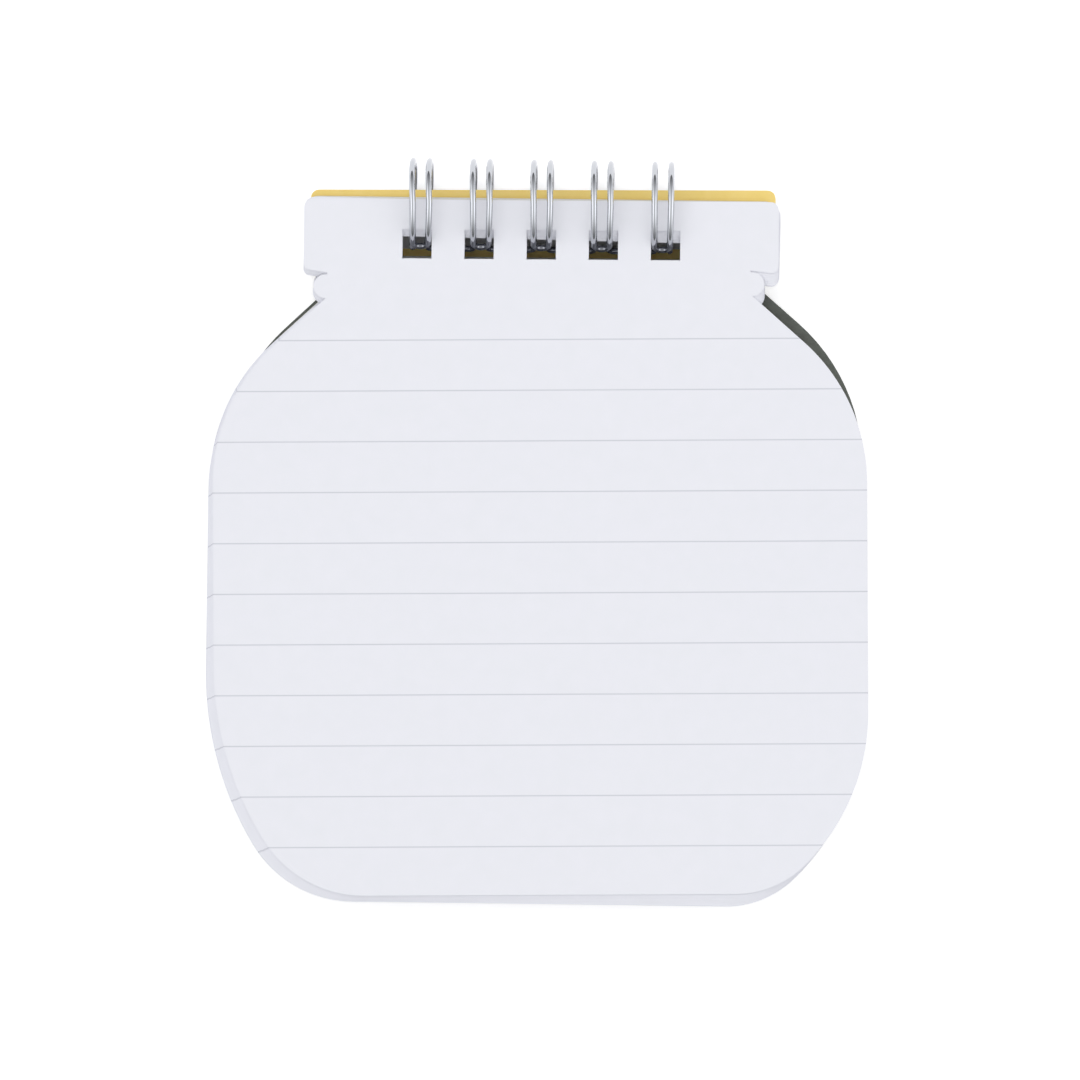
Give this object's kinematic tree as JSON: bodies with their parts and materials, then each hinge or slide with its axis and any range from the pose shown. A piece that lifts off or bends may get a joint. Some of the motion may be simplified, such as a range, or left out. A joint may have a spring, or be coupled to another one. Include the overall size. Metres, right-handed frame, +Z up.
{
  "type": "mini notebook",
  "caption": "Jar-shaped mini notebook with ruled sheets and card covers on a wire comb along its top; the front cover is folded round behind.",
  "frame": {"origin": "middle of the footprint, at the height of the comb's lowest point, where the notebook meets the table", "axes": "+Z up towards the reader, +Y from the sheets' bottom edge towards the comb, +X to the reader's right along the comb"},
  "size_m": [0.0916, 0.103, 0.0129],
  "materials": {
    "paper": "uncoated white writing paper with printed ruling",
    "back_card": "plain white card",
    "printed_card": "card printed dark green with a yellow lid, plain white inside",
    "wire": "bright plated steel wire"
  },
  "bodies": {
    "root": {"pages": "paper", "back_cover": "back_card", "wire_comb": "wire"},
    "cover": {"front_cover": "printed_card"}
  },
  "joints": [
    {"name": "front_cover_turn", "type": "hinge", "parent": "root", "child": "cover", "pos_m": [-0.0004, 0.04504, 0.00643], "axis": [1, 0, 0], "range_deg": [0, 200]}
  ]
}
